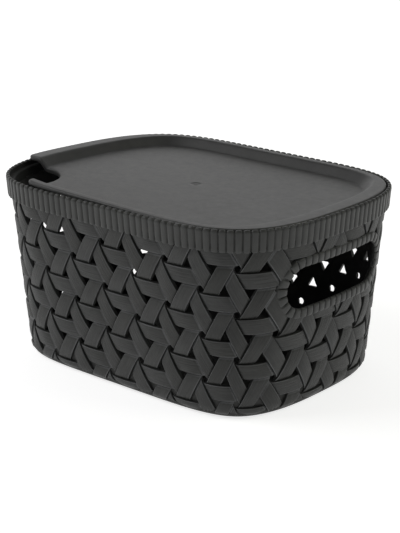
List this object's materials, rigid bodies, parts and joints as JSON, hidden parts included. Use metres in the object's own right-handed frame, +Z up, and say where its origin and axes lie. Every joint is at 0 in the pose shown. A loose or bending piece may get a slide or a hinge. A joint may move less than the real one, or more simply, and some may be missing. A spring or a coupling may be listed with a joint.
{
  "type": "lidded storage basket",
  "caption": "Tapered rounded-rectangle storage basket moulded to look like flat woven wicker, with a ribbed rim, hand holes in its ends and a loose tray lid with a finger cut-out.",
  "frame": {"origin": "on the surface that the basket stands on, under the middle of its base", "axes": "+X along the length, through the two hand holes; +Z up; the lid's finger cut-out is at the -X, -Y corner"},
  "size_m": [0.252, 0.19, 0.1338],
  "materials": {
    "basket_plastic": "anthracite polypropylene with a fine lengthwise grain on the strips",
    "lid_plastic": "anthracite polypropylene, finely eroded"
  },
  "bodies": {
    "basket": {"basket": "basket_plastic"},
    "lid": {"lid": "lid_plastic"}
  },
  "joints": [
    {"name": "lid_lift", "type": "slide", "parent": "basket", "child": "lid", "axis": [0, 0, 1], "range_m": [0, 0.1]}
  ]
}
